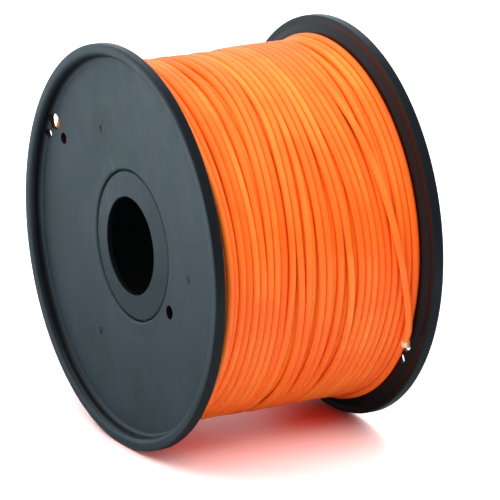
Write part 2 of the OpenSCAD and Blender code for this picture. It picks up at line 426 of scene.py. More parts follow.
def polished_share(shader, x):
    """How polished a wall is, and how far it is an inner face, both 0 to 1.

    Round walls and those that look to the middle are polished, outer faces are matt."""
    toward = shader.split(shader.coordinates("Normal"))[0]
    outward = shader.math("MULTIPLY", toward, shader.math("SIGN", x))
    return (shader.fade(outward, *ROUND_WALL),
            shader.fade(outward, *INNER_FACE))


def moulded_grain(shader, fine, coarse):
    """Bump of a moulded face: a fine spark-eroded grain over a slow unevenness."""
    place = shader.coordinates()
    slow = shader.bump(shader.noise(place, scale=60.0), coarse)
    grain = shader.noise(place, scale=1500.0, detail=3.0, roughness=0.6)
    return shader.bump(grain, fine, slow)


def with_gate_marks(shader, face, colour, mottle):
    """The face with the marks of its gates: a dark haze, a pale tail inwards and a dark pit."""
    radius, angle, x = polar(shader)
    # the angle is folded so that the three gates fall on one place
    third = 2 * math.pi / 3
    first = shader.math("MULTIPLY_ADD", shader.math("SIGN", x), GATE_SHIFT, GATE_ANGLE)
    folded = shader.math("SUBTRACT", shader.math("FLOORED_MODULO", shader.math(
        "ADD", angle, shader.math("ADD", first, third / 2)), third), third / 2)
    across = shader.math("MULTIPLY", radius, shader.math("SINE", folded))
    out = shader.math("SUBTRACT", shader.math(
        "MULTIPLY", radius, shader.math("COSINE", folded)), GATE_R)
    from_gate = shader.vector("LENGTH", shader.combine(across, out, 0.0))

    # the uppermost gate fed the mould hardest and left the plainest marks
    strong = shader.spread(shader.math("COSINE", shader.math("ADD", angle, GATE_ANGLE)),
                           0.3, 0.9, 0.3, 1.0)
    haze = shader.math("MULTIPLY", shader.fade(from_gate, *HAZE_FADE, peak=0.55), strong)
    haze = shader.math("MULTIPLY", haze, shader.spread(mottle, 0.3, 0.6, 0.4, 1.0))
    face = shader.blend(haze, face, scaled(colour, 0.55))
    halo = shader.fade(from_gate, GATE_PIT * 1.3, GATE_PIT * 2.4, peak=0.5)
    tail = shader.math("MULTIPLY",
                       shader.fade(shader.math("ABSOLUTE", across), *TAIL_WIDTH, peak=0.9),
                       shader.spread(out, *TAIL_LENGTH, 1.0, 0.1))
    marks = shader.math("MULTIPLY", shader.math("MAXIMUM", halo, tail), strong)
    face = shader.blend(marks, face, scaled(colour, 2.6))
    pit = shader.fade(from_gate, GATE_PIT * 0.6, GATE_PIT * 1.2, peak=0.9)
    return shader.blend(pit, face, scaled(colour, 0.12))


def flange_plastic(plastic):
    """Matt moulded faces with flow marks from the three gates, and polished dark walls."""
    shader = Shader("flange plastic")
    place = shader.coordinates()
    radius, angle, x = polar(shader)

    # slow clouds and finer mottling in the matt face
    clouds = shader.noise(place, scale=22.0, detail=3.0, roughness=0.55)
    mottle = shader.noise(place, scale=140.0, detail=3.0, roughness=0.6)
    face = shader.blend(shader.spread(clouds, 0.32, 0.68),
                        tinted(plastic.flange_colour, FLANGE_DARK),
                        tinted(plastic.flange_colour, FLANGE_PALE))
    face = shader.blend(shader.spread(mottle, 0.35, 0.75, 0.0, 0.5), face,
                        scaled(plastic.flange_colour, 1.5))

    # flow streaks that run out along the radius
    streaks = shader.noise(
        shader.combine(shader.math("MULTIPLY", angle, 5.0),
                       shader.math("MULTIPLY", radius, 14.0), x), scale=6.0, detail=3.0)
    face = shader.blend(shader.spread(streaks, 0.55, 0.8, 0.0, 0.25), face,
                        scaled(plastic.flange_colour, 1.45))

    face = with_gate_marks(shader, face, plastic.flange_colour, mottle)

    # the mould was polished where it made the round walls and the faces towards the winding;
    # the round walls are also coloured near black, which is partly painted shade
    skin_and_shade, inner = polished_share(shader, x)
    skin_and_shade = shader.math("MULTIPLY", skin_and_shade, shader.spread(radius, *OPENING_EDGE))
    colour = shader.blend(skin_and_shade, face, plastic.skin_and_shade_colour)
    rough = shader.spread(mottle, 0.3, 0.7, plastic.face_roughness - 0.05,
                          plastic.face_roughness + 0.06)
    rough = shader.blend(skin_and_shade, shader.combine(rough, rough, rough), grey(plastic.rim_roughness))
    rough = shader.blend(inner, rough, grey(plastic.inner_roughness))
    return shader.finish(colour, shader.split(rough)[0],
                         moulded_grain(shader, FINE_GRAIN, coarse=0.00016),
                         Specular_IOR_Level=0.5)


def plain_plastic(name, colour, wall_colour, roughness, fine=FINE_GRAIN):
    """Moulded plastic with clouds, mottling and grain, for the parts without gate marks."""
    shader = Shader(name)
    place = shader.coordinates()
    clouds = shader.noise(place, scale=40.0, detail=3.0, roughness=0.55)
    mottle = shader.noise(place, scale=260.0, detail=3.0, roughness=0.6)
    body = shader.blend(shader.spread(clouds, 0.3, 0.7),
                        scaled(colour, 0.85), scaled(colour, 1.15))
    body = shader.blend(shader.spread(mottle, 0.4, 0.8, 0.0, 0.3), body, scaled(colour, 1.4))
    rough = shader.spread(mottle, 0.3, 0.7, roughness - 0.05, roughness + 0.05)
    radius, _, x = polar(shader)
    # polished only in the spindle's hole and behind the face, where the walls take the wall
    # colour, near black on the hub ends, which is partly painted shade
    inside = shader.math("MAXIMUM", shader.fade(radius, *HUB_HOLE_EDGE),
                         shader.fade(shader.math("ABSOLUTE", x), *HUB_FACE_EDGE))
    wall = shader.math("MULTIPLY", polished_share(shader, x)[0], inside)
    body = shader.blend(wall, body, wall_colour)
    return shader.finish(body, rough, moulded_grain(shader, fine, coarse=0.0001),
                         Specular_IOR_Level=0.4)


# ------------------------------------------------------------------ filament

ALONG = "along"
AROUND = "around"

# the filament's colour shifts slowly between the first two of these tints of it
DEEP, BRIGHT = (1.0, 0.72, 0.5), (1.0, 1.45, 2.5)
PATCH = (1.0, 0.68, 0.5)  # in patches of the winding
LINE = (0.97, 0.8, 0.7)  # in the draw lines
FLANK_PAINTED_LIGHT = (1.7, 2.6)  # green and blue of the painted light on a strand's flanks, where red is full
BENT_COLOUR = (0.98, 0.80, 0.52)
BENT_FADE = (0.0012, 0.0036)  # distances from the sharpest bend over which its paleness fades


def filament_plastic(name, strand, glow=1.0, bend_at=None):
    """Extruded filament: soft gloss, fine draw lines along it, and slow shifts of colour.

    glow makes up for the light that reaches buried strands through those above them, and
    bend_at is the length along the strand near which it is coloured pale."""
    shader = Shader(name)
    along = shader.add("ShaderNodeAttribute", attribute_name=ALONG).outputs["Fac"]
    around = shader.add("ShaderNodeAttribute", attribute_name=AROUND).outputs["Fac"]
    turn = shader.math("MULTIPLY", around, 2 * math.pi)
    line = shader.combine(shader.math("MULTIPLY", along, 9.0),
                          shader.math("SINE", turn), shader.math("COSINE", turn))
    shift = shader.noise(shader.combine(shader.math("MULTIPLY", along, 2.6), 0.0, 0.0),
                         scale=1.0, detail=3.0)
    draw = shader.noise(line, scale=5.0, detail=3.0, roughness=0.6)
    # painted light: glow raises green and blue where light reaches only through other strands
    basic = tinted(strand.colour, (1.0, glow, glow))
    colour = shader.blend(shader.spread(shift, 0.32, 0.68),
                          tinted(basic, DEEP), tinted(basic, BRIGHT))
    place = shader.coordinates()
    patches = shader.noise(place, scale=38.0)
    colour = shader.blend(shader.spread(patches, 0.42, 0.66, 0.0, 0.6), colour,
                          tinted(basic, PATCH))
    colour = shader.blend(shader.spread(draw, 0.45, 0.75, 0.0, 0.4), colour,
                          tinted(basic, LINE))
    # painted light: the flanks are coloured lighter for the light that passes through the strands
    _, y, z = shader.split(place)
    outward = shader.vector("NORMALIZE", shader.combine(0.0, y, z))
    lift = shader.vector("DOT_PRODUCT", shader.coordinates("Normal"), outward)
    colour = shader.blend(shader.fade(lift, 0.0, 0.9), colour,
                          (1.0, *tinted(basic[1:], FLANK_PAINTED_LIGHT)))
    if bend_at is not None:
        pale = shader.fade(shader.math("ABSOLUTE", shader.math("SUBTRACT", along, bend_at)),
                           *BENT_FADE, peak=0.9)
        colour = shader.blend(pale, colour, BENT_COLOUR)
    return shader.finish(colour, shader.spread(draw, 0.3, 0.7, 0.30, 0.42),
                         shader.bump(draw, depth=0.00005), Specular_IOR_Level=0.4)


def core_plastic(strand):
    """The same filament on the core, where rings stand for the strands below."""
    shader = Shader("filament core")
    place = shader.coordinates()
    shift = shader.noise(place, scale=30.0, detail=3.0)
    colour = shader.blend(shader.spread(shift, 0.3, 0.7),
                          scaled(strand.colour, 0.95), strand.colour)
    fine = shader.noise(place, scale=900.0)
    return shader.finish(colour, shader.spread(fine, 0.3, 0.7, 0.34, 0.44),
                         shader.bump(fine, depth=0.00002), Specular_IOR_Level=0.5)


# ------------------------------------------------------------------ how a winding lies

COLUMNS = 144  # points of one turn
TURNS_BELOW = 80  # turns below a strand that it can touch
SETTLING = 30  # rounds in which a turn slides to its rest
GRIP = 0.35  # share of the slope under a strand by which it slides, each round
STEEPEST = 1.5  # slope beyond which it slides no faster
SLIDE = 0.001  # how far it slides in a round, where that share and the slope are 1
PROBE = 0.015  # how far to each side it feels for the slope, in diameters
PULL = 0.05  # share by which the guide draws an inner strand to its aim, each round
STIFF = 4.0  # columns over which a strand's stiffness evens it out
CARRY = 14  # columns over which a turn takes over from the one before
DRIFT_FADE = 10  # columns in which the sideways run of the one before dies away
CLIMB_CARRY = 6  # the same two for the strand's height
CLIMB_FADE = 4
LAYER_RISE = 0.88  # how far one layer lies over the next, in diameters
FLANGE_TOUCH = 0.52  # how near a flange a strand's middle comes, in diameters
INNER_GAP = 0.0009  # how much further the inner layers stay off the flanges
END_TURNS = 1.2  # turns of a layer that lie against its two flanges
INNER_LOOSE = 0.25  # share of the outer layer's looseness that the inner ones have
SWAY_LENGTH = 0.070  # length along the axis over which groups of turns wander
BUNCH_LENGTH = 0.019  # and over which neighbouring turns draw together
WAVE_RANGE = (0.75, 1.35)  # shortest and longest wave, as shares of these lengths
WANDER_REACH = 11  # columns over which a strand's own unevenness is smoothed
APART_ROUNDS = 60  # rounds in which neighbouring turns move apart


def evened(values, reach, before):
    """Values along a strand, evened over reach columns; before is the strand up to here."""
    half = math.ceil(3 * reach)
    weights = np.exp(-0.5 * (np.arange(-half, half + 1) / reach) ** 2)
    lead = before[-half:] if before is not None else np.full(half, values[0])
    # beyond its end the strand is thought to run on half as steeply as it ends
    run_out = values[-1] + (values[-1] - values[-2]) * np.arange(1, half + 1) * 0.5
    padded = np.concatenate([lead, values, run_out])
    return np.convolve(padded, weights / weights.sum(), "valid")


def resting_radius(x, below, floor, diameter):
    """Radius at which a strand at x rests on the strands below it, column by column."""
    if not below:
        return np.full(len(x), floor)
    reach = diameter ** 2 - (x - np.array([turn[0] for turn in below])) ** 2
    radii = np.array([turn[1] for turn in below])
    tops = np.where(reach > 0, radii + np.sqrt(np.maximum(reach, 0)), 0)
    return np.maximum(tops.max(axis=0), floor)


def waves(rng, size, length, cycles, count):
    """A smooth wander over the drum: some waves of about this length along the axis, and of a
    number of cycles in a turn between the two that cycles gives."""
    terms = [(size / math.sqrt(count), 2 * math.pi / (length * rng.uniform(*WAVE_RANGE)),
              round(rng.uniform(*cycles)) * rng.choice([-1, 1]), rng.uniform(0, 2 * math.pi))
             for _ in range(count)]
    return lambda x, angle: sum(a * np.sin(w * x + k * angle + p) for a, w, k, p in terms)


def smooth_share(values, start, end):
    """0 up to start and 1 from end on, with a smooth step between."""
    share = np.clip((values - start) / (end - start), 0, 1)
    return share ** 2 * (3 - 2 * share)


def own_wander(rng, size, count):
    """A strand's own slow unevenness, for count columns in a row."""
    margin = 4 * WANDER_REACH
    raw = evened(rng.normal(size=count + 2 * margin), WANDER_REACH, None)[margin:margin + count]
    return raw * size / raw.std()


def kept_apart(aims, heading, least, limit):
    """Moves the aims of neighbouring turns apart, both alike, until none is nearer than least."""
    for _ in range(APART_ROUNDS):
        short = least - heading * (aims[COLUMNS:] - aims[:-COLUMNS])
        push = 0.5 * heading * np.maximum(short, 0)
        aims[:-COLUMNS] -= push
        aims[COLUMNS:] += push
        aims = np.clip(aims, -limit, limit)
    return aims


def lay_turn(strand, guided, below, before, beside):
    """Lays one turn: it slides down what is below it, as stiff as it is, near its aim.

    guided is its aim, how firmly it is held to it, which way the layer goes and how far out it
    may lie. before is the turn that it carries on from, and beside is the x of the turn at its
    side."""
    aim, pull, heading, limit = guided
    diameter, floor = strand.diameter, strand.first_radius
    x = aim.copy()
    probe = diameter * PROBE
    if before is not None:
        drift = before[0][-1] - before[0][-2]
        columns = np.arange(COLUMNS)
        carried = before[0][-1] + drift * (columns + 1) * np.exp(-columns / DRIFT_FADE)
        share = smooth_share(columns + 1, 0, CARRY)
    for _ in range(SETTLING):
        slope = (resting_radius(x + probe, below, floor, diameter)
                 - resting_radius(x - probe, below, floor, diameter)) / (2 * probe)
        x = x - GRIP * np.clip(slope, -STEEPEST, STEEPEST) * SLIDE
        x = evened(x, STIFF, before[0] if before else None)
        x += pull * (aim - x)
        if before is not None:
            x = share * x + (1 - share) * carried
        x = heading * np.maximum(heading * x, heading * beside + diameter)
        x = np.clip(x, -limit, limit)
    radius = resting_radius(x, below, floor, diameter)
    return x, settled_radius(radius, before[1] if before else None)


def settled_radius(radius, before):
    """A strand bridges the hollows under it and never dips into what it rests on."""
    bridged = np.maximum(radius, evened(radius, STIFF, before))
    bridged = evened(bridged, STIFF / 2, before)
    if before is not None:
        columns = np.arange(len(radius))
        climb = before[-1] - before[-2]
        carried = before[-1] + climb * (columns + 1) * np.exp(-columns / CLIMB_FADE)
        share = np.clip((columns + 1) / CLIMB_CARRY, 0, 1)
        bridged = share * bridged + (1 - share) * carried
    return bridged


LOOSE_START = math.radians(-330)  # the loose end leaves the layer this far before its hole
SLOT_X = 0.0265  # where the outer layer's turns part for the loose end
SLOT_FROM, SLOT_TO = math.radians(-75), math.radians(25)  # between what angles they do
SLOT_FADE = math.radians(45)  # over what angle they come together at both of its ends
SLOT_REACH = 0.011  # how far to the sides they make room
SLOT_PARTING = 0.6  # how far each turn beside it moves away, in diameters


def even_places(count, limit):
    """Where the turns of a layer would lie, evenly from side to side and full at both ends."""
    progress = np.arange(count * COLUMNS) / COLUMNS
    return limit * np.clip((2 * progress - count) / (count - END_TURNS), -1, 1)


def slot_turn(even_x):
    """Number of the last turn on the left of the slot, from where the turns would lie evenly."""
    top = round(-start_angle() / (2 * math.pi) * COLUMNS) % COLUMNS
    return int(np.sum(even_x[top::COLUMNS] < SLOT_X)) - 1


def near_slot(even, angle):
    """1 beside the slot and 0 away from it, for turns that would lie evenly."""
    around = (angle + start_angle() + math.pi) % (2 * math.pi) - math.pi
    open_here = (smooth_share(around, SLOT_FROM - SLOT_FADE, SLOT_FROM)
                 * (1 - smooth_share(around, SLOT_TO, SLOT_TO + SLOT_FADE)))
    return open_here * np.exp(-np.abs(even - SLOT_X) / SLOT_REACH)


def slot_side(even):
    """-1 for the turns on the left of the slot and 1 for the others."""
    return np.where(np.arange(len(even)) // COLUMNS <= slot_turn(even), -1, 1)


def slot_middle(layer, columns):
    """Middle between the two turns beside the slot, column by column."""
    left = slot_turn(even_places(len(layer), max(turn[0].max() for turn in layer)))
    return 0.5 * (layer[left][0] + layer[left + 1][0])[:columns]


def layer_aims(rng, strand, number):
    """Where the guide led the strand of a layer, which way it went and how far out it may lie."""
    outer = number == strand.layers - 1
    loose = 1.0 if outer else INNER_LOOSE
    diameter = strand.diameter
    sway = waves(rng, strand.sway, SWAY_LENGTH, cycles=(1, 2.2), count=4)
    bunching = waves(rng, strand.bunching * loose, BUNCH_LENGTH, cycles=(1, 3), count=5)
    radius = strand.first_radius + number * LAYER_RISE * diameter
    limit = face_x(radius) - diameter * FLANGE_TOUCH - (0 if outer else INNER_GAP)
    count = int(2 * limit / (strand.outer_pitch if outer else strand.pitch))
    least = diameter * (strand.nearest if outer else 1)
    heading = 1 if number % 2 == 0 else -1
    even = heading * even_places(count, limit)
    angle = 2 * math.pi * (np.arange(count * COLUMNS) / COLUMNS)
    # turns wander freely in the middle of the layer, and not at the flanges
    free = np.clip(1 - (np.abs(even) / limit) ** 4, 0, 1)
    calm = 1 - near_slot(even, angle) if outer else 1
    aims = even + free * (sway(even, angle) + calm * bunching(even, angle))
    aims = aims + calm * own_wander(rng, strand.unevenness * loose, len(aims))
    if outer:
        aims = aims + slot_side(even) * (1 - calm) * SLOT_PARTING * diameter
    return kept_apart(aims, heading, least, limit), heading, limit


@functools.lru_cache(maxsize=1)
def wound():
    """Every turn of the winding: a list for each layer of (x, radius) along the turn."""
    strand = settings()[0]
    rng = np.random.default_rng(strand.seed)
    turns, layers = [], []
    before = None
    for number in range(strand.layers):
        pull = strand.outer_pull if number == strand.layers - 1 else PULL
        aims, heading, limit = layer_aims(rng, strand, number)
        beside = -heading * math.inf
        layer = []
        for aim in aims.reshape(-1, COLUMNS):
            before = lay_turn(strand, (aim, pull, heading, limit), turns[-TURNS_BELOW:], before,
                              beside)
            beside = before[0]
            turns.append(before)
            layer.append(before)
        layers.append(layer)
    return layers


def start_angle():
    """Angle at which every layer starts and ends."""
    return settings()[0].hole_angle + LOOSE_START


def layer_route(layers):
    """The points of some layers, as the one strand that they are."""
    turns = [turn for layer in layers for turn in layer]
    x = np.concatenate([turn[0] for turn in turns])
    radius = np.concatenate([turn[1] for turn in turns])
    angle = start_angle() + np.arange(len(x)) * 2 * math.pi / COLUMNS
    return on_drum(x, radius, angle)


# ------------------------------------------------------------------ strands as meshes


def lengths_along(points):
    """Length along a chain of points at each of them."""
    steps = np.linalg.norm(np.diff(points, axis=0), axis=1)
    return np.concatenate([[0], np.cumsum(steps)])


def chain(name, points):
    """A mesh of one chain of edges, with the length along it stored at each point."""
    mesh = bpy.data.meshes.new(name)
    mesh.from_pydata([tuple(point) for point in points],
                     [(i, i + 1) for i in range(len(points) - 1)], [])
    along = mesh.attributes.new(ALONG, "FLOAT", "POINT")
    along.data.foreach_set("value", lengths_along(points).astype(np.float32))
    return mesh


def strand_tree():
    """Geometry Nodes: sweeps a round section along a chain and gives it a material."""
    name = "strand sweep"
    if name in bpy.data.node_groups:
        return bpy.data.node_groups[name]
    sweep = Tree(bpy.data.node_groups.new(name, "GeometryNodeTree"))
    face = sweep.tree.interface
    for socket, kind in (("Chain", "Geometry"), ("Diameter", "Float"), ("Sides", "Int"),
                         ("Material", "Material")):
        face.new_socket(socket, in_out="INPUT", socket_type="NodeSocket" + kind)
    face.items_tree["Diameter"].subtype = "DISTANCE"
    face.new_socket("Strand", in_out="OUTPUT", socket_type="NodeSocketGeometry")

    def step(kind, socket, source):
        """A new node whose socket is fed by source."""
        node = sweep.add(kind)
        sweep.join(source, node.inputs[socket])
        return node

    inputs = sweep.add("NodeGroupInput").outputs
    curve = step("GeometryNodeMeshToCurve", "Mesh", inputs["Chain"])
    section = step("GeometryNodeCurvePrimitiveCircle", "Resolution", inputs["Sides"])
    sweep.join(sweep.math("MULTIPLY", inputs["Diameter"], 0.5), section.inputs["Radius"])
    mark = step("GeometryNodeStoreNamedAttribute", "Geometry", section.outputs[0])
    mark.inputs["Name"].default_value = AROUND
    sweep.join(sweep.add("GeometryNodeSplineParameter").outputs["Factor"], mark.inputs["Value"])

    body = step("GeometryNodeCurveToMesh", "Curve", curve.outputs[0])
    body.inputs["Fill Caps"].default_value = True
    sweep.join(mark.outputs[0], body.inputs["Profile Curve"])
    soft = step("GeometryNodeSetShadeSmooth", "Geometry", body.outputs[0])
    real = step("GeometryNodeRealizeInstances", "Geometry", soft.outputs[0])
    finish = step("GeometryNodeSetMaterial", "Geometry", real.outputs[0])
    sweep.join(inputs["Material"], finish.inputs["Material"])
    step("NodeGroupOutput", "Strand", finish.outputs[0])
    return sweep.tree


def sweep_strand(name, points, material):
    """Makes a piece of strand along points, as a plain mesh."""
    strand = settings()[0]
    host = add_object(name + " route", chain(name + " route", points))
    modifier = host.modifiers.new("strand", "NODES")
    modifier.node_group = strand_tree()
    values = {"Diameter": strand.diameter, "Sides": strand.sides, "Material": material}
    for socket in modifier.node_group.interface.items_tree:
        if socket.in_out == "INPUT" and socket.name in values:
            modifier[socket.identifier] = values[socket.name]
    host.update_tag()
    ready = host.evaluated_get(bpy.context.evaluated_depsgraph_get())
    mesh = bpy.data.meshes.new_from_object(ready)
    route = host.data
    bpy.data.objects.remove(host)
    bpy.data.meshes.remove(route)
    if not mesh.polygons:
        raise RuntimeError(f"{name}: the strand came out empty")
    return place_piece(name, mesh, material)


# ------------------------------------------------------------------ the core under the strands


CORE_SEAT = 0.0001  # how far the wound core stays off the barrel
CORE_GAP = 0.0012  # how far it stays off the flanges
CORE_DRAWN_IN = 0.0045  # and how far below CORE_NECK_R, at its first layers
CORE_NECK_R = 0.043
CORE_RISE = 0.87  # spacing of the strands' backs up its sides, in diameters
CORE_SEGMENTS = 96
BACK_DEPTH = 0.0005  # depth of the grooves between the backs
BACK_POINTS = 6  # points of one back


def bumps(start, end, pitch, outward):
    """Points of a scalloped edge from start to end: round backs of strands side by side."""
    start, end, outward = (np.array(v, float) for v in (start, end, outward))
    count = max(1, round(np.linalg.norm(end - start) / pitch))
    points = []
    for k in range(count):
        for i in range(BACK_POINTS):
            share = (k + i / BACK_POINTS) / count
            height = BACK_DEPTH * math.sin(math.pi * i / BACK_POINTS)
            points.append(start + (end - start) * share + outward * (height - BACK_DEPTH))
    return points


def core_profile(strand):
    """Section of the core as (x, radius): scalloped sides along the flanges, drawn in at the
    barrel, and a scalloped top under the lowest wound layer."""
    inner = BARREL_R + CORE_SEAT
    top = strand.first_radius - strand.diameter * 0.5
    rise = strand.diameter * CORE_RISE
    deep_low = face_x(inner) - CORE_DRAWN_IN
    deep_top = face_x(CORE_NECK_R) - CORE_DRAWN_IN
    side_low = face_x(CORE_NECK_R) - CORE_GAP
    side_top = face_x(top) - CORE_GAP
    left = (bumps((-deep_low, inner), (-deep_top, CORE_NECK_R), rise, (-1, 0))
            + bumps((-side_low, CORE_NECK_R), (-side_top, top), rise, (-1, 0)))
    edge = side_top - BACK_DEPTH
    crest = bumps((-edge, top), (edge, top), strand.pitch, (0, 1))
    right = (bumps((side_top, top), (side_low, CORE_NECK_R), rise, (1, 0))
             + bumps((deep_top, CORE_NECK_R), (deep_low, inner), rise, (1, 0)))
    return np.array(left + crest + right + [np.array((deep_low - BACK_DEPTH, inner))])


def revolve(name, profile, segments):
    """A closed solid of revolution about X from an (x, radius) section."""
    angle = np.arange(segments) * 2 * math.pi / segments
    count = len(profile)
    points = on_drum(np.tile(profile[:, 0], segments), np.tile(profile[:, 1], segments),
                     np.repeat(angle, count))
    faces = []
    for s in range(segments):
        here, there = s * count, (s + 1) % segments * count
        for i in range(count):
            j = (i + 1) % count
            faces.append((here + i, here + j, there + j, there + i))
    mesh = bpy.data.meshes.new(name)
    mesh.from_pydata(points.tolist(), [], faces)
    mesh.polygons.foreach_set("use_smooth", np.ones(len(faces), bool))
    return mesh


# ------------------------------------------------------------------ the loose end

BACK_START = math.radians(20)  # how far round the loose end goes before it turns back
BACK_ANGLE = math.radians(30)  # where it leaves its slot for the flange
REACH_POWER = 1.5  # how its way out to the flange speeds up
LOOSE_STIFF = 1.5  # columns over which its way is evened out
BEND_ANGLE = math.radians(111)  # where it starts to bend into its hole
BEND_LEAD, BEND_RUN = 0.62, 0.30  # how long the bend keeps to its first and its last direction
BEND_STEPS, SHARPEST_STEP = 12, 7
MOUTH_DEPTH = 0.0006  # how far inside the hole the bend ends
STRAIGHT_STEPS = 4  # steps from there to the strand's end


def loose_path(strand, layers):
    """The loose end's way from the last turn, back over those before it and out again."""
    below = [turn for layer in layers for turn in layer][-TURNS_BELOW:]
    last = below[-1]
    angle = start_angle() + np.arange(COLUMNS) * 2 * math.pi / COLUMNS
    angle = angle[angle < BEND_ANGLE]
    slot = slot_middle(layers[-1], len(angle))
    back = smooth_share(angle, start_angle() + BACK_START, SLOT_FROM)
    out = np.clip((angle - BACK_ANGLE) / (strand.hole_angle - BACK_ANGLE), 0, 1) ** REACH_POWER
    parting = slot[np.searchsorted(angle, BACK_ANGLE)]
    slot = np.where(angle < BACK_ANGLE, slot, parting)
    x = last[0][-1] + (slot - last[0][-1]) * back + (face_x(strand.hole_radius) - parting) * out
    x = evened(x, LOOSE_STIFF, last[0])
    columns = len(x)
    under = [(turn[0][:columns], turn[1][:columns]) for turn in below]
    radius = resting_radius(x, under, strand.first_radius, strand.diameter)
    radius = settled_radius(radius, last[1])
    return np.vstack([layer_route(layers[-1:])[-1:], on_drum(x, radius, angle)])


def bent_end(strand, path):
    """One smooth bend from the end of a path into the hole, then straight out."""
    run = path[-1] - path[-2]
    run /= np.linalg.norm(run)
    mouth = on_drum(face_x(strand.hole_radius) + MOUTH_DEPTH, strand.hole_radius,
                    strand.hole_angle)
    reach = np.linalg.norm(mouth - path[-1])
    axis = np.array((1.0, 0.0, 0.0))
    first, second = path[-1] + run * reach * BEND_LEAD, mouth - axis * reach * BEND_RUN
    t = np.linspace(0, 1, BEND_STEPS + 1)[1:, None]
    bend = ((1 - t) ** 3 * path[-1] + 3 * (1 - t) ** 2 * t * first
            + 3 * (1 - t) * t ** 2 * second + t ** 3 * mouth)
    end_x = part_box("filament_tail")[1].x
    steps = np.linspace(0, end_x - mouth[0], STRAIGHT_STEPS + 1)[1:]
    return np.vstack([bend, [mouth + axis * step for step in steps]])


def loose_route():
    """Points of the loose end, and the length along it at which its bend is sharpest."""
    strand = settings()[0]
    path = loose_path(strand, wound())
    points = np.vstack([path, bent_end(strand, path)])
    return points, float(lengths_along(points)[len(path) + SHARPEST_STEP])


# ------------------------------------------------------------------ operators


class SPOOL_OT_finish_flanges(bpy.types.Operator):
    """Gives both flanges their moulded finish"""

    bl_idname = "spool.finish_flanges"
    bl_label = "Finish Flanges"

    def execute(self, context):
        material = flange_plastic(settings()[1])
        for node in ("left_flange", "right_flange"):
            dress_node(node, material)
        return {"FINISHED"}


class SPOOL_OT_finish_hub(bpy.types.Operator):
    """Gives the barrel and the two hub ends their finish"""

    bl_idname = "spool.finish_hub"
    bl_label = "Finish Barrel and Hub Ends"

    def execute(self, context):
        plastic = settings()[1]
        hub = plain_plastic("hub plastic", plastic.hub_colour, plastic.skin_and_shade_colour,
                            plastic.face_roughness)
        for node in ("left_hub_end", "right_hub_end"):
            dress_node(node, hub)
        dress_node("barrel", plain_plastic("barrel plastic", plastic.barrel_colour,
                                           plastic.barrel_colour, roughness=0.6,
                                           fine=2 * FINE_GRAIN))
        return {"FINISHED"}


class SPOOL_OT_wind_core(bpy.types.Operator):
    """Makes the wound core that the outer layers lie on"""

    bl_idname = "spool.wind_core"
    bl_label = "Wind Core"

    def execute(self, context):
        strand = settings()[0]
        mesh = revolve("winding_core", core_profile(strand), CORE_SEGMENTS)
        core = place_piece("winding_core", mesh, core_plastic(strand))
        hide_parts("filament_pack")
        return {"FINISHED"}


class SPOOL_OT_wind_layers(bpy.types.Operator):
    """Winds the strands of the last layers, each resting on those below"""

    bl_idname = "spool.wind_layers"
    bl_label = "Wind Layers"

    def execute(self, context):
        strand = settings()[0]
        material = filament_plastic("filament", strand)
        # the buried strands get painted light: their green and blue are raised
        buried = filament_plastic("filament below", strand, glow=1.5)
        layers = wound()
        inner = sweep_strand("winding_inner_layers", layer_route(layers[:-1]), buried)
        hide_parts("filament_pack")
        outer = sweep_strand("winding_outer_layer", layer_route(layers[-1:]), material)
        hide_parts("filament_turns")
        return {"FINISHED"}


class SPOOL_OT_lead_loose_end(bpy.types.Operator):
    """Leads the loose end over the last turns and through the flange's hole"""

    bl_idname = "spool.lead_loose_end"
    bl_label = "Lead Loose End"

    def execute(self, context):
        points, bend_at = loose_route()
        material = filament_plastic("filament loose end", settings()[0], bend_at=bend_at)
        loose = sweep_strand("loose_end", points, material)
        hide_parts("filament_tail")
        return {"FINISHED"}


# ------------------------------------------------------------------ stage

CAMERA_PLACE = (-0.93821, -1.70394, 0.57003)
CAMERA_TURN = (73.4446, 0.0, -29.0766)  # degrees
SENSOR_WIDTH = 36.0  # millimetres
FAR_CLIP = 100.0  # metres

# place and size of each softbox
TOP_SOFTBOX = ((-0.6, 0.25, 1.5), 1.3)
SIDE_SOFTBOX = ((-0.35, -0.10, 0.45), 0.3)
FRONT_SOFTBOX = ((0.2, -0.75, 1.15), 0.9)
SPOT_PLACE = (0.42, 0.08, 0.85)
SPOT_TARGET = (0.035, -0.01, 0.07)
SPOT_ANGLE = math.radians(15)
SPOT_RADIUS = 0.1
LIGHT_BOUNCES = 32  # enough to fill the grooves between strands with their own colour

ROOM_TINT = (0.03, 0.045, 0.06)  # the dark room that gloss shows in front of the spool
SHINE_TINT = (0.78, 0.94, 1.0)  # the cool white that it shows behind the spool
SKY_TINT = (0.97, 0.985, 1.0)  # colour of the light from all round
SKY_RISE = (0.0, 0.7)  # heights between which it grows, as parts of a direction
SKY_SHARES = (0.1, 1.35)  # and the shares of its strength at these two
SKY_ROOM = (0.15, 0.75)  # how far a direction leads to the back where gloss leaves the room

# ranges over which the floor changes, in metres from the spool's middle or along Y
NEAR_FLOOR = (0.16, 0.40)  # what the camera finds added turns from the red that paints the shadow redder to grey
GLOSS_SHADE_NEAR = (0.13, 0.58)  # painted shade: gloss finds the floor dim near the spool, brighter away
GLOSS_SHADE_FRONT = (-0.30, -0.06)  # painted shade: gloss finds the floor dark in front, ending over this range
SHADOW_PAINT_GROWS = (0.0, 0.036)  # the red shadow painted under the winding grows to both sides,
SHADOW_PAINT_ENDS = (0.045, 0.056)  # then ends under the flanges,
SHADOW_PAINT_REACH = (0.006, 0.034)  # and it fades to the front and the back
SHADOW_PAINT_ADDED = 0.6  # share of the painted shadow's red that the camera finds added there


def point_at(item, target):
    """Turns a lamp so that it shines at a point."""
    direction = Vector(target) - item.location
    item.rotation_euler = direction.to_track_quat("-Z", "Y").to_euler()


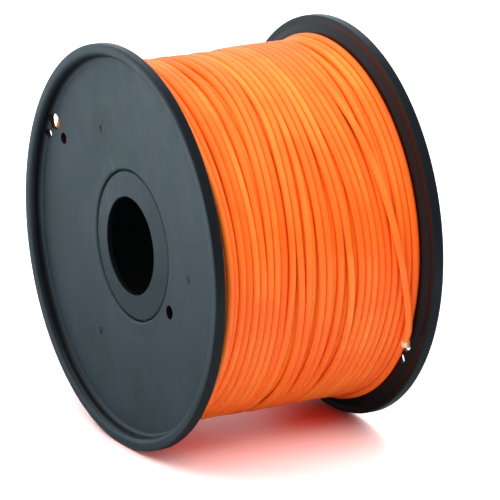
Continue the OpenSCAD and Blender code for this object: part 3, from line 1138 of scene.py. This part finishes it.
def add_lamp(name, kind, power, place, target, glossy):
    """A lamp that shines at a point, and that gloss shows only if it may."""
    lamp = bpy.data.lights.new(name, kind)
    lamp.energy = power
    item = add_object(name, lamp)
    item.location = place
    item.visible_glossy = glossy
    point_at(item, target)
    return item


def add_softbox(name, place, size, power, glossy):
    """A square lamp that shines at the middle of the spool and that the camera doesn't see."""
    item = add_lamp(name, "AREA", power, place, (0, 0, 0), glossy)
    item.visible_camera = False
    item.data.shape = "SQUARE"
    item.data.size = size


def add_spot(power):
    """A soft-edged spot that picks out the winding's upper right."""
    lamp = add_lamp("spot", "SPOT", power, SPOT_PLACE, SPOT_TARGET, glossy=False).data
    lamp.spot_size = SPOT_ANGLE
    lamp.spot_blend = 1.0
    lamp.shadow_soft_size = SPOT_RADIUS


def painted_shadow_mask(shader, x, y):
    """1 on the floor right under the winding, where a red shadow is painted, and 0 away from it.
    """
    aside = shader.math("ABSOLUTE", x)
    along = shader.math("MULTIPLY", shader.spread(aside, *SHADOW_PAINT_GROWS, 0.1, 1.0),
                        shader.fade(aside, *SHADOW_PAINT_ENDS))
    return shader.math("MULTIPLY", along,
                       shader.fade(shader.math("ABSOLUTE", y), *SHADOW_PAINT_REACH))


def floor_finish(stage):
    """White tabletop with a slight gloss, barely uneven.

    The camera finds it brighter than it is for the light; near the spool the added colour is
    redder, which paints the shadow redder, and under the winding a red shadow is painted. Gloss
    finds it cool, with painted shade that dims it near the spool and darkens it in front of it."""
    shader = Shader("floor")
    place = shader.coordinates()
    x, y, _ = shader.split(place)
    away = shader.vector("LENGTH", shader.combine(x, y, 0.0))
    under = painted_shadow_mask(shader, x, y)
    rays = shader.add("ShaderNodeLightPath").outputs
    cloud = shader.noise(place, scale=3.0)
    colour = shader.blend(shader.spread(cloud, 0.3, 0.7),
                          scaled(stage.floor_colour, 0.995), stage.floor_colour)
    # painted shadow: to the camera the floor turns red under the winding
    colour = shader.blend(shader.math("MULTIPLY", under, rays["Is Camera Ray"]), colour,
                          stage.painted_shadow_colour)
    material = shader.finish(colour, shader.spread(cloud, 0.3, 0.7, 0.30, 0.34))

    plain = shader.surface.outputs["BSDF"]
    # painted shade: the added colour is red near the spool, so the shadow there looks redder
    gain = shader.blend(shader.spread(away, *NEAR_FLOOR), stage.seen_gain_and_painted_red,
                        grey(max(stage.seen_gain_and_painted_red)))
    bright = shader.add("ShaderNodeAddShader")
    shader.join(plain, bright.inputs[0])
    # painted shadow: under the winding a share of that red is also added for the camera
    shader.join(shader.diffuse(shader.blend(under, gain, scaled(stage.painted_shadow_colour, SHADOW_PAINT_ADDED))),
                bright.inputs[1])
    # painted shade: in reflections the floor is dimmed near the spool and darkened in front of it
    dim = shader.math("MAXIMUM", shader.fade(away, *GLOSS_SHADE_NEAR, peak=1.0 - stage.room),
                      shader.fade(y, *GLOSS_SHADE_FRONT, peak=1.0 - stage.room))
    glossy = shader.diffuse(shader.blend(dim, SHINE_TINT, ROOM_TINT))

    seen = shader.math("MAXIMUM", rays["Is Camera Ray"], rays["Is Transmission Ray"])
    surface = shader.mixed(rays["Is Glossy Ray"],
                           shader.mixed(seen, plain, bright.outputs[0]), glossy)
    shader.join(surface, shader.output.inputs["Surface"])
    return material


def add_floor(stage):
    """A square floor under the flanges."""
    half = stage.floor_size / 2
    mesh = bpy.data.meshes.new("floor")
    mesh.from_pydata([(-half, -half, FLOOR_Z), (half, -half, FLOOR_Z),
                      (half, half, FLOOR_Z), (-half, half, FLOOR_Z)], [], [(0, 1, 2, 3)])
    mesh.materials.append(floor_finish(stage))
    item = add_object("floor", mesh)


def set_sky(stage):
    """A pale light all round, growing with height, which camera and glass rays see as white, and
    gloss as a cool white with a dark room in front of the spool."""
    world = bpy.data.worlds.new("studio")
    bpy.context.scene.world = world
    world.use_nodes = True
    sky = Tree(world.node_tree)
    rays = sky.add("ShaderNodeLightPath").outputs
    _, y, z = sky.split(sky.coordinates("Generated"))
    light = sky.add("ShaderNodeBackground")
    light.inputs["Color"].default_value = (*SKY_TINT, 1)
    low, high = (share * stage.sky_strength for share in SKY_SHARES)
    sky.join(sky.spread(z, *SKY_RISE, low, high), light.inputs["Strength"])

    in_front = sky.fade(y, *SKY_ROOM, peak=1.0 - stage.room)
    shine = sky.blend(in_front, SHINE_TINT, ROOM_TINT)
    white = sky.add("ShaderNodeBackground")
    sky.join(sky.blend(rays["Is Glossy Ray"], grey(1.0), shine), white.inputs["Color"])
    white.inputs["Strength"].default_value = 1.0
    seen = sky.math("MAXIMUM", rays["Is Camera Ray"], sky.math(
        "MAXIMUM", rays["Is Glossy Ray"], rays["Is Transmission Ray"]))
    output = sky.add("ShaderNodeOutputWorld")
    sky.join(sky.mixed(seen, light.outputs[0], white.outputs[0]), output.inputs["Surface"])


def add_camera(stage):
    """The scene's camera."""
    lens = bpy.data.cameras.new("camera")
    lens.lens = stage.lens
    lens.sensor_width = SENSOR_WIDTH
    lens.clip_end = FAR_CLIP
    item = add_object("camera", lens)
    item.location = CAMERA_PLACE
    item.rotation_euler = [math.radians(angle) for angle in CAMERA_TURN]
    bpy.context.scene.camera = item


class SPOOL_OT_set_stage(bpy.types.Operator):
    """Adds the floor, the soft light and the camera"""

    bl_idname = "spool.set_stage"
    bl_label = "Set Stage"

    def execute(self, context):
        stage = settings()[2]
        context.scene.view_settings.view_transform = "Standard"
        add_floor(stage)
        set_sky(stage)
        add_softbox("top softbox", *TOP_SOFTBOX, stage.top_power, glossy=True)
        add_softbox("side softbox", *SIDE_SOFTBOX, stage.side_power, glossy=False)
        add_softbox("front softbox", *FRONT_SOFTBOX, stage.front_power, glossy=False)
        add_spot(stage.spot_power)
        cycles = context.scene.cycles
        cycles.max_bounces = cycles.diffuse_bounces = LIGHT_BOUNCES
        add_camera(stage)
        return {"FINISHED"}


class SPOOL_PT_panel(bpy.types.Panel):
    """Lists the steps that dress the spool"""

    bl_idname = "SPOOL_PT_panel"
    bl_label = "Filament Spool"
    bl_space_type = "VIEW_3D"
    bl_region_type = "UI"
    bl_category = "Spool"

    def draw(self, context):
        for step in STEPS:
            self.layout.operator(step.bl_idname)


STEPS = (SPOOL_OT_finish_flanges, SPOOL_OT_finish_hub, SPOOL_OT_wind_core,
         SPOOL_OT_wind_layers, SPOOL_OT_lead_loose_end, SPOOL_OT_set_stage)
GROUPS = (SpoolStrandSettings, SpoolPlasticSettings, SpoolStageSettings)


def register():
    for item in (*GROUPS, *STEPS, SPOOL_PT_panel):
        bpy.utils.register_class(item)
    bpy.types.Scene.spool_strand = bpy.props.PointerProperty(type=SpoolStrandSettings)
    bpy.types.Scene.spool_plastic = bpy.props.PointerProperty(type=SpoolPlasticSettings)
    bpy.types.Scene.spool_stage = bpy.props.PointerProperty(type=SpoolStageSettings)


def unregister():
    del bpy.types.Scene.spool_strand
    del bpy.types.Scene.spool_plastic
    del bpy.types.Scene.spool_stage
    for item in reversed((*GROUPS, *STEPS, SPOOL_PT_panel)):
        bpy.utils.unregister_class(item)


def main():
    register()
    bpy.ops.spool.finish_flanges()
    bpy.ops.spool.finish_hub()
    bpy.ops.spool.wind_core()
    bpy.ops.spool.wind_layers()
    bpy.ops.spool.lead_loose_end()
    bpy.ops.spool.set_stage()


if __name__ == "__main__":
    main()
